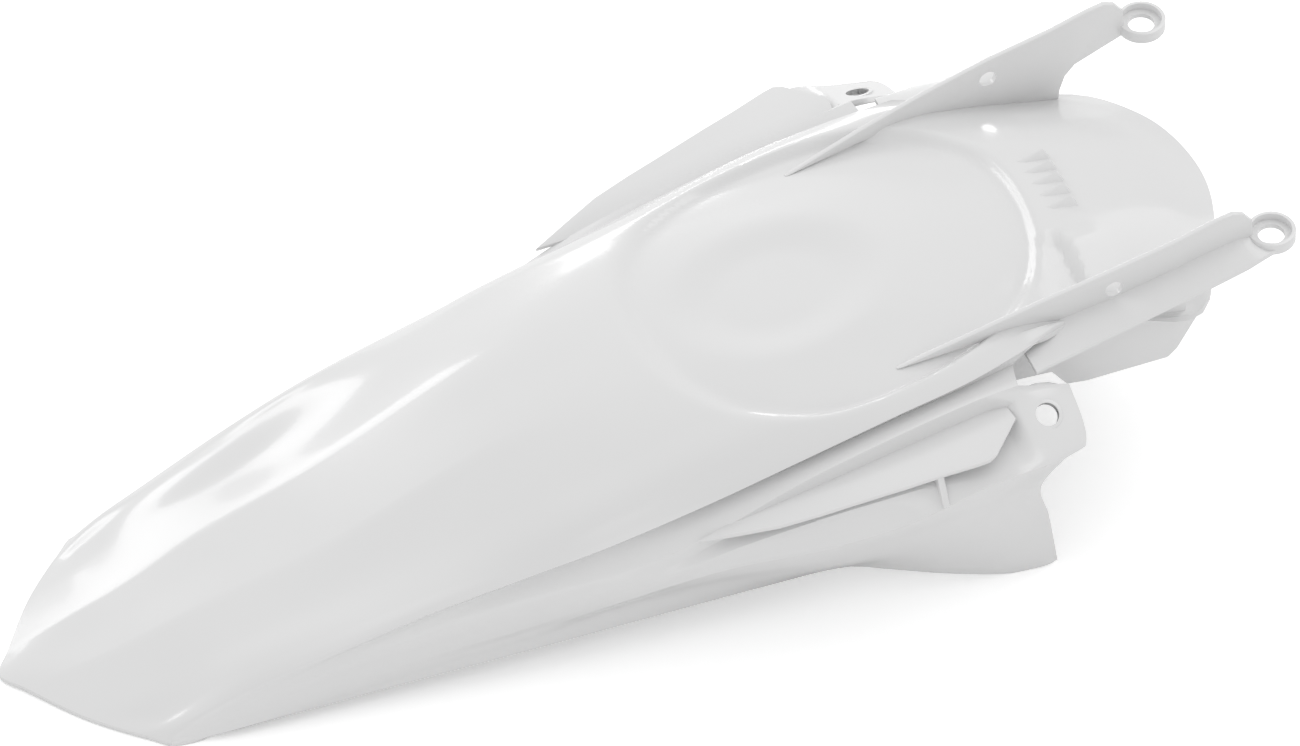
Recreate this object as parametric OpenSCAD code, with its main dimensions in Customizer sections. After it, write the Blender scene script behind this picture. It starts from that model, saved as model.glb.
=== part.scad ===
// One-piece moulded rear fender of an off-road motorcycle.
// X runs forward from the tail, Y to the left, Z up; the fender stands on its tail edge and skirts.

/* [Overall] */
// Length of the body along the centre, from the tail edge to the front arch
body_l = 735; // [620:5:820]
// Width over the side folds, the widest place
body_w = 334; // [290:2:360]
// Width over the two tail corners
tail_w = 170; // [130:2:190]
// Height of the crown over the floor
crown_h = 158; // [130:1:185]
// Wall thickness of the moulding
wall = 3; // [2:0.1:4]

/* [Front arms] */
// Distance between the two front fixing holes
arm_spacing = 184; // [172:1:200]
// How far the front fixing holes lie ahead of the front arch
arm_reach = 3; // [-12:1:25]
// Height of the seat of the front fixing holes over the floor
arm_seat_h = 165; // [158:1:172]
// Thickness of the upright web of an arm
web_t = 3.2; // [2.5:0.1:5]
// Thickness of the side flange of an arm
arm_flange_t = 3; // [2:0.1:4]
// Bore of the front fixing hole
pad_bore = 15.6; // [10:0.2:18]
// Outer diameter of the cup round the front fixing hole
pad_d = 28; // [24:0.5:32]
// Bore of the small hole in the web
web_bore = 10.6; // [6:0.2:14]

/* [Side fixing] */
// Bore of the side fixing hole
side_bore = 13.6; // [8:0.2:16]
// Diameter of the flat seat round the side fixing hole
side_seat_d = 25; // [20:0.5:28]
// Thickness of the pocket plate that covers the skirt
plate_t = 2.5; // [1.5:0.1:4]

/* [Seat recess] */
// Depth of the seat recess
recess_d = 6; // [2:0.5:10]
// Depth of the hand-sized dish in the recess
dish_d = 6; // [0:0.5:8]

/* [Hidden] */
$fn = 48;
// The lines below are drawn for a fender of these sizes and stretched to the sizes above
REF_L = 735;
REF_W = 334;
REF_TAIL = 170;
REF_H = 158;
// Where the stretch across passes from the tail width to the body width
TAPER_FROM = 72;
TAPER_TO = 540;

// Length lines of the left half: each row is [x, y, z]
CROWN = [
    [0, 0, 4], [40, 0, 12], [72, 0, 22], [118, 0, 40], [190, 0, 65], [283, 0, 108],
    [331, 0, 124], [390, 0, 136], [440, 0, 143], [500, 0, 149], [560, 0, 154], [620, 0, 157.5],
    [650, 0, 157], [690, 0, 150], [735, 0, 134]
];
CREASE = [
    [10, 18, 3.5], [40, 20, 11], [72, 22, 20.5], [118, 24, 38.5], [190, 28, 62.5], [283, 30, 106],
    [331, 38, 121], [390, 42, 133], [440, 42, 140.5], [500, 42, 147], [560, 42, 151.5],
    [620, 42, 154], [650, 42, 153], [690, 42, 146], [726, 42, 135]
];
FLANK = [
    [36, 50, 3.5], [72, 52, 15], [118, 54, 37], [190, 60, 58], [283, 68, 96], [331, 72, 111],
    [390, 72, 126], [440, 71, 134.5], [500, 70, 141], [560, 68, 148], [620, 66, 148.5],
    [650, 66, 145], [690, 66, 137], [714, 66, 131.5]
];
ROOF_SIDE = [
    [55, 69, 3.5], [72, 71, 9], [118, 74, 35], [190, 84, 54.5], [283, 96, 83], [331, 98, 98],
    [390, 96, 115], [440, 94, 127], [500, 88, 137], [560, 86, 145], [593, 86, 147],
    [628, 86, 141], [683, 87, 127], [704, 87, 123]
];
STRIP = [
    [64, 77, 3.5], [90, 80, 18], [118, 82, 31], [171, 90, 49], [223, 97, 64], [283, 105, 77],
    [331, 109, 91], [390, 110, 106], [440, 108, 121], [500, 106, 132], [546, 102, 141],
    [585, 98, 146], [612, 95, 143]
];
STEP_TOP = [
    [67, 80, 3.5], [90, 82.5, 17], [118, 86, 28], [171, 92.5, 47.5], [223, 99.5, 63], [283, 108, 76],
    [331, 113, 89.5], [390, 115.5, 103], [443, 116, 117.5], [502, 115, 129], [546, 112, 138],
    [588, 104, 145]
];
STEP_FOOT = [
    [69, 82, 3.5], [90, 85, 14], [118, 88, 24], [171, 93.5, 43], [223, 100.5, 57], [283, 109.5, 70],
    [331, 114.5, 83], [390, 117, 96], [443, 118, 110], [502, 118, 122], [546, 116, 131],
    [592, 111, 135.5]
];
RIDGE = [
    [70, 83, 3.5], [90, 86, 11], [118, 89, 19], [171, 94.5, 35], [223, 101, 47], [283, 110, 60],
    [331, 117, 79], [390, 123, 97], [443, 124, 109], [502, 122, 121.5], [556, 121, 133],
    [598, 120, 134]
];
SHELF_IN = [
    [71, 83.5, 3.5], [90, 86.5, 9], [118, 90, 15], [171, 95, 28], [223, 101, 38], [283, 109, 49],
    [331, 118, 70], [390, 125, 88], [443, 127, 99], [502, 126.5, 112], [545, 126, 122],
    [566, 126, 130], [600, 126, 131]
];
SHELF_OUT = [
    [71.5, 84, 3.5], [90, 87, 7], [118, 90.5, 12], [171, 95.5, 22], [223, 100.5, 30], [283, 107.5, 39],
    [331, 117, 60], [390, 130, 79], [446, 145, 86], [502, 155, 99], [530, 159, 106],
    [560, 160, 111.5], [597, 158, 112]
];
FOLD = [
    [72, 84.5, 3.5], [90, 87.5, 5.5], [118, 91, 9.5], [171, 95.5, 17], [223, 99.5, 24], [283, 105, 31],
    [331, 115, 52], [390, 131, 70], [446, 147, 79], [484, 157, 90], [514, 163, 100],
    [540, 166.5, 107], [573, 167, 107]
];
SKIRT_MID = [
    [72, 84.8, 3.2], [90, 88, 4], [118, 91.5, 7], [171, 95, 12], [223, 98.5, 17], [283, 103, 22],
    [331, 108, 34], [390, 119, 43], [446, 132, 45], [495, 146, 52], [530, 152, 54], [582, 156, 52]
];
LOWER_EDGE = [
    [72, 85, 3], [90, 88, 3.2], [134, 92, 6], [205, 97, 9.7], [276, 102, 12.6], [347, 106, 15],
    [425, 110, 17], [471, 112, 15.5], [495, 120, 12], [526, 130, 6], [560, 138, 0.5], [591, 141, 0]
];
LINES = [
    CROWN, CREASE, FLANK, ROOF_SIDE, STRIP, STEP_TOP, STEP_FOOT, RIDGE, SHELF_IN, SHELF_OUT,
    FOLD, SKIRT_MID, LOWER_EDGE
];

// Number of stations in the tail, along the middle and in the front
TAIL_STATIONS = 6;
MID_STATIONS = 18;
FRONT_STATIONS = 7;
// Where the middle stations begin and end
MID_FROM = 110;
MID_TO = 540;

// Stretch from the drawn sizes to the set sizes
function sx(x) = x * body_l / REF_L;
function taper(x) = min(1, max(0, (x - TAPER_FROM) / (TAPER_TO - TAPER_FROM)));
function sy(x, y) = y * ((1 - taper(x)) * tail_w / REF_TAIL + taper(x) * body_w / REF_W);
function sz(z) = z * crown_h / REF_H;

// Smooth value of column c of a line at x
function seg(l, x, i = 0) = i >= len(l) - 2 || x < l[i + 1][0] ? i : seg(l, x, i + 1);
function slope(l, i, c) =
    let (a = max(0, i - 1), b = min(len(l) - 1, i + 1))
    (l[b][c] - l[a][c]) / (l[b][0] - l[a][0]);
function on_line(l, x, c) =
    let (
        i = seg(l, x),
        h = l[i + 1][0] - l[i][0],
        t = (x - l[i][0]) / h,
        a = slope(l, i, c) * h,
        b = slope(l, i + 1, c) * h,
        p = l[i][c],
        q = l[i + 1][c]
    )
    p + t * (a + t * (3 * (q - p) - 2 * a - b + t * (2 * (p - q) + a + b)));

// Station j on a line, spread from the tail end of the line to its front end
function station(l, j) =
    let (x0 = l[0][0], x1 = l[len(l) - 1][0], m = TAIL_STATIONS + MID_STATIONS)
    j <= TAIL_STATIONS ? x0 + (MID_FROM - x0) * j / TAIL_STATIONS
    : j <= m ? MID_FROM + (MID_TO - MID_FROM) * (j - TAIL_STATIONS) / MID_STATIONS
    : MID_TO + (x1 - MID_TO) * (j - m) / FRONT_STATIONS;

// Smooth step from 0 to 1
function ramp(t) = let (u = min(1, max(0, t))) u * u * (3 - 2 * u);

// Seat recess: an oval floor with a soft wall, and a dish in it.
// An edge is the share of the radii at which a wall starts, and a run is the share that it takes.
RECESS_X = 510;
RECESS_RX = 116;
RECESS_RY = 98;
RECESS_EDGE = 1.06;
RECESS_RUN = 0.14;
DISH_X = 470;
DISH_RX = 58;
DISH_RY = 46;
DISH_EDGE = 1.1;
DISH_RUN = 0.7;
// Number of lines from the crown out that the relief is pressed into
ROOF_LINES = 5;
function oval(x, y, cx, rx, ry) = sqrt(pow((x - cx) / rx, 2) + pow(y / ry, 2));
function recess_share(x, y) = ramp((RECESS_EDGE - oval(x, y, RECESS_X, RECESS_RX, RECESS_RY)) / RECESS_RUN);
function dish_share(x, y) = ramp((DISH_EDGE - oval(x, y, DISH_X, DISH_RX, DISH_RY)) / DISH_RUN);
function relief(x, y) = -recess_d * recess_share(x, y) - dish_d * dish_share(x, y);

LAST = TAIL_STATIONS + MID_STATIONS + FRONT_STATIONS;
function raw(i, j) =
    let (l = LINES[i], x = station(l, j))
    [x, on_line(l, x, 1), on_line(l, x, 2)];
function outer_ref(i, j) =
    let (p = raw(i, j))
    [p[0], p[1], p[2] + (i < ROOF_LINES ? relief(p[0], p[1]) : 0)];
function place(p) = [sx(p[0]), sy(p[0], p[1]), sz(p[2])];
function outer(i, j) = place(outer_ref(i, j));

// Inner skin: each point moves along the normal of the section, taken over two lines either way.
// At the tail edge it moves straight down, so that the edge stands flat on the floor.
N = len(LINES);
TAIL_BLEND = 45;
function around(i, j) = i < 0 ? flip(outer(-i, j)) : outer(min(N - 1, i), j);
function inward(i, j) =
    let (
        d = around(i + 2, j) - around(i - 2, j),
        n = [d[2], -d[1]] / norm([d[1], d[2]]),
        k = ramp((station(LINES[i], j) - LINES[i][0][0]) / TAIL_BLEND),
        v = [k * n[0], k * n[1] + k - 1]
    )
    i == 0 ? [0, -1] : v / norm(v);
function inner(i, j) =
    let (p = outer(i, j), v = inward(i, j))
    [p[0], p[1] + wall * v[0], p[2] + wall * v[1]];

function flip(p) = [p[0], -p[1], p[2]];
// A full section runs from the left lower edge over the crown to the right lower edge
function row(f, j) = concat(
    [for (i = [N - 1:-1:0]) f == 0 ? outer(i, j) : inner(i, j)],
    [for (i = [1:N - 1]) flip(f == 0 ? outer(i, j) : inner(i, j))]
);
ROW = 2 * N - 1;

module body() {
    rows = LAST + 1;
    top = [for (j = [0:LAST]) each row(0, j)];
    low = [for (j = [0:LAST]) each row(1, j)];
    m = rows * ROW;
    skin = [
        for (j = [0:LAST - 1])
            for (i = [0:ROW - 2])
                let (a = j * ROW + i, b = a + 1, c = a + ROW, d = c + 1)
                each [[a, c, b], [b, c, d]]
    ];
    under = [for (f = skin) [f[0] + m, f[2] + m, f[1] + m]];
    ends = [
        for (i = [0:ROW - 2])
            let (a = i, b = LAST * ROW + i)
            each [
                [a, a + 1, a + m], [a + m, a + 1, a + 1 + m],
                [b + 1, b, b + m], [b + 1 + m, b + 1, b + m]
            ]
    ];
    edges = [
        for (j = [0:LAST - 1])
            let (a = j * ROW, c = a + ROW, b = a + ROW - 1, d = b + ROW)
            each [[c, a, a + m], [c + m, c, a + m], [b, d, b + m], [b + m, d, d + m]]
    ];
    polyhedron(points = concat(top, low), faces = concat(skin, under, ends, edges), convexity = 10);
}

// Front arms: their drawn points pass from the body's stretch at the root to the fixing holes
ARM_ROOT_X = 600;
ARM_TIP = [738, 92, 165];
hole_x = body_l + arm_reach;
function arm_t(x) = ramp((x - ARM_ROOT_X) / (ARM_TIP[0] - ARM_ROOT_X));
function arm_x(x) = sx(x) + arm_t(x) * (hole_x - sx(ARM_TIP[0]));
function arm_y(x, y) = sy(x, y) + arm_t(x) * (arm_spacing / 2 - sy(ARM_TIP[0], ARM_TIP[1]));
function arm_z(x, z) = sz(z) + arm_t(x) * (arm_seat_h - sz(ARM_TIP[2]));
function on_arm(p) = [arm_x(p[0]), arm_y(p[0], p[1]), arm_z(p[0], p[2])];

// Plan line of the web, and its outline from the side as [x, z]
WEB_PLAN = [[512, 82.5], [560, 86.5], [600, 89], [641, 91], [729, 91.5]];
WEB_SIDE = [
    [512, 134], [540, 149], [570, 160.5], [598, 169], [640, 179], [702, 190], [713, 191], [721, 187.5],
    [727, 180], [729, 172], [729, 162], [704, 152.5], [696, 149], [690, 142], [687, 132], [686, 122],
    [655, 130], [628, 136], [600, 142], [570, 142], [540, 138]
];
// Cheek under each side of the front arch
CHEEK_PLAN = [[604, 91], [640, 89.5], [683, 87.5], [702.5, 84]];
CHEEK_SIDE = [
    [606, 141], [628, 138.5], [655, 132.5], [683, 125], [702.5, 121], [702, 117], [684, 90], [678, 85],
    [627, 88], [614, 91], [606, 105]
];
// Flange that stands out from the web: its plan, and a plane [x, y, z, slope along x, slope along y]
FLANGE_PLAN = [
    [590, 90], [641, 91], [738, 91.5], [742, 105.5], [733, 107], [700, 109], [640, 111], [592, 113.5]
];
FLANGE_PLANE = [601, 90, 137, 0.262, -0.2];
// Centre of the web hole
WEB_HOLE = [641, 91, 158];
// Cup round the front fixing hole: its floor, and the height and thickness of its rim
PAD_FLOOR = 3;
PAD_RIM_H = 6;
PAD_RIM_T = 2.4;

// Tall enough and wide enough to cut through anything
REACH = 400;

function strip(line, t) = concat(
    [for (p = line) [arm_x(p[0]), arm_y(p[0], p[1]) + t / 2]],
    [for (i = [len(line) - 1:-1:0]) let (p = line[i]) [arm_x(p[0]), arm_y(p[0], p[1]) - t / 2]]
);
// An upright plate that follows a plan line and is cut to an outline from the side
module upright_plate(plan, side, t) {
    intersection() {
        linear_extrude(REACH) polygon(strip(plan, t));
        rotate([90, 0, 0])
            linear_extrude(REACH, center = true)
                polygon([for (p = side) [arm_x(p[0]), arm_z(p[0], p[1])]]);
    }
}
// A sheet of thickness t whose upper face passes through p with the slopes along x and y
module slab(p, slope_x, slope_y, t) {
    m = norm([slope_x, slope_y, 1]);
    translate(p)
        rotate([asin(slope_y / m), -atan(slope_x), 0])
            translate([-REACH, -REACH, -t])
                cube([2 * REACH, 2 * REACH, t]);
}
module arm() {
    difference() {
        union() {
            upright_plate(WEB_PLAN, WEB_SIDE, web_t);
            intersection() {
                linear_extrude(REACH)
                    polygon([for (p = FLANGE_PLAN) [arm_x(p[0]), arm_y(p[0], p[1])]]);
                slab(on_arm(FLANGE_PLANE), FLANGE_PLANE[3], FLANGE_PLANE[4], arm_flange_t);
            }
            translate([hole_x, arm_spacing / 2, arm_seat_h - PAD_FLOOR])
                cylinder(d = pad_d, h = PAD_FLOOR + PAD_RIM_H);
        }
        translate([hole_x, arm_spacing / 2, arm_seat_h])
            cylinder(d = pad_d - 2 * PAD_RIM_T, h = REACH);
    }
}

// Pocket plate: a flat flap over the skirt, on a plane [x, y, z, slope along x, slope along y],
// with a short rib under its corner whose section is [y, z]
PLATE_PLAN = [
    [371, 127], [394, 134], [427, 143], [470, 150], [502, 154.5], [514, 157], [530, 156], [548, 149],
    [558, 141], [561, 126], [545, 123.5], [500, 123.5], [443, 124], [390, 123.5]
];
PLATE_PLANE = [371, 130, 93.6, 0.188, -0.136];
RIB_X = 505;
RIB_T = 4;
RIB_SECTION = [[127, 109], [150, 112.5], [155, 114], [161.5, 98], [155, 96], [128, 107]];
module pocket_plate() {
    intersection() {
        linear_extrude(REACH) polygon([for (p = PLATE_PLAN) [sx(p[0]), sy(p[0], p[1])]]);
        slab(place(PLATE_PLANE), PLATE_PLANE[3], PLATE_PLANE[4], plate_t);
    }
    translate([sx(RIB_X) + RIB_T / 2, 0, 0])
        rotate([90, 0, 0])
            rotate([0, -90, 0])
                linear_extrude(RIB_T) polygon([for (p = RIB_SECTION) [sy(RIB_X, p[0]), sz(p[1])]]);
}

// Side fixing: a flat seat with a bore, square to the flange that the body forms there
SIDE_X = 581;
// Share of the way across the flange, from its inner edge, at which the bore sits
SIDE_T = 0.385;
// How far the seat stands over the flange and reaches down through it
SEAT_UP = 0.8;
SEAT_DOWN = 4;
side_in = place([SIDE_X, on_line(SHELF_IN, SIDE_X, 1), on_line(SHELF_IN, SIDE_X, 2)]);
side_out = place([SIDE_X, on_line(SHELF_OUT, SIDE_X, 1), on_line(SHELF_OUT, SIDE_X, 2)]);
side_at = side_in + SIDE_T * (side_out - side_in);
side_tilt = atan((side_out[2] - side_in[2]) / (side_out[1] - side_in[1]));
module at_side_hole() {
    translate(side_at) rotate([side_tilt, 0, 0]) children();
}

// Louvres on the front of the roof: their side view is [along, up] from the rear tip
LOUVRES = 5;
LOUVRE_PITCH = 10;
LOUVRE_X = 631;
LOUVRE_W = 5.5;
LOUVRE_SIDE = [[0, -1.5], [16, 3], [20, 2], [20, -2]];
module louvres() {
    for (i = [0:LOUVRES - 1]) {
        y = (i - (LOUVRES - 1) / 2) * LOUVRE_PITCH;
        t = abs(y) / CREASE[len(CREASE) - 1][1];
        z = (1 - t * t) * on_line(CROWN, LOUVRE_X, 2) + t * t * on_line(CREASE, LOUVRE_X, 2);
        translate([sx(LOUVRE_X), y + LOUVRE_W / 2, sz(z)])
            rotate([90, 0, 0])
                linear_extrude(LOUVRE_W) polygon(LOUVRE_SIDE);
    }
}

module left_fittings() {
    arm();
    upright_plate(CHEEK_PLAN, CHEEK_SIDE, wall);
    pocket_plate();
    at_side_hole() translate([0, 0, -SEAT_DOWN]) cylinder(d = side_seat_d, h = SEAT_DOWN + SEAT_UP);
}
// Holes of the left side: front fixing, web and side fixing.
// Each cutter runs past both faces of its wall by the wall's own thickness or more.
module left_holes() {
    translate([hole_x, arm_spacing / 2, arm_seat_h - 2 * PAD_FLOOR])
        cylinder(d = pad_bore, h = 3 * PAD_FLOOR);
    translate(on_arm(WEB_HOLE))
        rotate([-90, 0, 0])
            cylinder(d = web_bore, h = 4 * web_t, center = true);
    at_side_hole() cylinder(d = side_bore, h = 4 * SEAT_DOWN, center = true);
}

overall_l = hole_x + pad_d / 2;
// The moulding before its holes, held to its overall length and width
module blank() {
    resize([overall_l, body_w, 0])
        union() {
            body();
            louvres();
            for (side = [0, 1]) mirror([0, side, 0]) left_fittings();
        }
}

module fender() {
    color("white")
        translate([-overall_l / 2, 0, 0])
            difference() {
                blank();
                for (side = [0, 1]) mirror([0, side, 0]) left_holes();
            }
}

fender();
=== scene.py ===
"""A one-piece moulded rear fender of an off-road motorcycle, in glossy white plastic."""

import logging
import math
from dataclasses import dataclass, field
from enum import Enum
from typing import TypeVar

import bmesh
import bpy
import numpy as np
from mathutils import Matrix, Vector


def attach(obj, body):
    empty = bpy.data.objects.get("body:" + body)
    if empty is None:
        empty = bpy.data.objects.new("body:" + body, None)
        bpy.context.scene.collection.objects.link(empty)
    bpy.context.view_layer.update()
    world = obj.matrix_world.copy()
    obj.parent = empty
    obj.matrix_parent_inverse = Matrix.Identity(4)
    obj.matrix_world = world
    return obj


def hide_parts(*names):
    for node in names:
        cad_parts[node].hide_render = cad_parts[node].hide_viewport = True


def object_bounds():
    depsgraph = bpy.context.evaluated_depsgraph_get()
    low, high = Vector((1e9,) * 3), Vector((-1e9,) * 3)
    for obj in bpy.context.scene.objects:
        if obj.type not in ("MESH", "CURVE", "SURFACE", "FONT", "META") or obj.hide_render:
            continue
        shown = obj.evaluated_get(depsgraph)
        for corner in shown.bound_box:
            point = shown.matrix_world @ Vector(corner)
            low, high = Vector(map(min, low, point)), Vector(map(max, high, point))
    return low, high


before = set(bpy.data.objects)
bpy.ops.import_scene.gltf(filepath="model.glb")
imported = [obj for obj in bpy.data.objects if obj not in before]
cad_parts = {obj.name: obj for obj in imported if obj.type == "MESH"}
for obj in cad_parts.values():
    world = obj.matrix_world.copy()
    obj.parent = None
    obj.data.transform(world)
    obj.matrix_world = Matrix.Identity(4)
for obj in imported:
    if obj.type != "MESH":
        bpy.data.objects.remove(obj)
CAD_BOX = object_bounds()
LOG = logging.getLogger("fender")
MM = 0.001

Point2 = tuple[float, float]
Point3 = tuple[float, float, float]
Curve = TypeVar("Curve", float, np.ndarray)

# Places beyond the front, for a line whose turn doesn't fade.
NEVER: Point2 = (9000.0, 9001.0)
# Takes a point of one half to the other.
ACROSS = np.array([1, -1, 1])
# The fender's middle, in metres.
MIDDLE = Vector((0, 0, 0.1))


def ramp(t: float) -> float:
    """Smooth step from 0 to 1 as t goes from 0 to 1."""
    u = min(1.0, max(0.0, t))
    return u * u * (3.0 - 2.0 * u)


def bend(p: Curve, q: Curve, leaving: Curve, arriving: Curve, t: float) -> Curve:
    """A smooth curve from p to q with given tangents at its ends.

    Args:
        p: Its start.
        q: Its end.
        leaving: Tangent at p, scaled to the whole curve.
        arriving: Tangent at q, scaled likewise.
        t: Place on the curve, from 0 to 1.

    Returns:
        The value or the point at t.
    """
    a, b = leaving, arriving
    return p + t * (a + t * (3 * (q - p) - 2 * a - b + t * (2 * (p - q) + a + b)))


@dataclass(frozen=True)
class Oval:
    """A pressed oval form of the roof, symmetric about the crown.

    Attributes:
        centre: Place of its middle along X, in mm.
        radius_x: Half its length, in mm.
        radius_y: Half its width, in mm.
        power: 2 for an ellipse, more for one with squarer corners.
        edge: Where its wall starts, as a share of the radii.
        run: How wide its wall is, as a share of the radii.
        rear_run: How much wider the wall gets toward the rear.
    """

    centre: float
    radius_x: float
    radius_y: float
    power: float
    edge: float
    run: float
    rear_run: float

    def share(self, x: float, y: float) -> float:
        """How much of the form's depth applies at a place.

        Args:
            x: Place along the fender, in mm.
            y: Place across the fender, in mm.

        Returns:
            0 outside the form and 1 on its floor.
        """
        u, v = (x - self.centre) / self.radius_x, y / self.radius_y
        distance = (abs(u) ** self.power + abs(v) ** self.power) ** (1 / self.power)
        return ramp((self.edge - distance) / (self.run + self.rear_run * max(0.0, -u) ** 2))


class Softness(Enum):
    """How sharply the section turns where it crosses a length line."""

    SMOOTH = 1.0
    SOFT = 0.55
    CRISP = 0.18


@dataclass(frozen=True)
class Line:
    """One length line of the left half of the body.

    Attributes:
        rows: Its points, as x, y and z in mm.
        softness: How sharply the section turns at the line.
        fades: From where to where along X that turn softens to a smooth run.
    """

    rows: tuple[Point3, ...]
    softness: Softness = Softness.SMOOTH
    fades: Point2 = NEVER

    def turn(self, x: float) -> float:
        """How smoothly the section runs over the line at x, from 0 for a corner to 1."""
        start, end = self.fades
        return self.softness.value + (1.0 - self.softness.value) * ramp((x - start) / (end - start))

    def first(self) -> float:
        """Where the line leaves the tail edge."""
        return self.rows[0][0]

    def last(self) -> float:
        """Where the line meets the front edge."""
        return self.rows[-1][0]

    def at(self, x: float, column: int) -> float:
        """A smooth value along the line.

        Args:
            x: Place along the fender, in mm.
            column: 1 for y, 2 for z.

        Returns:
            The value at x, in mm.
        """
        rows = self.rows
        i = 0
        while i < len(rows) - 2 and x >= rows[i + 1][0]:
            i += 1
        h = rows[i + 1][0] - rows[i][0]
        t = (x - rows[i][0]) / h
        leaving, arriving = self.slope(i, column) * h, self.slope(i + 1, column) * h
        return bend(rows[i][column], rows[i + 1][column], leaving, arriving, t)

    def slope(self, i: int, column: int) -> float:
        """Slope of the line at row i, from its neighbours."""
        a, b = max(0, i - 1), min(len(self.rows) - 1, i + 1)
        return (self.rows[b][column] - self.rows[a][column]) / (self.rows[b][0] - self.rows[a][0])


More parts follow.
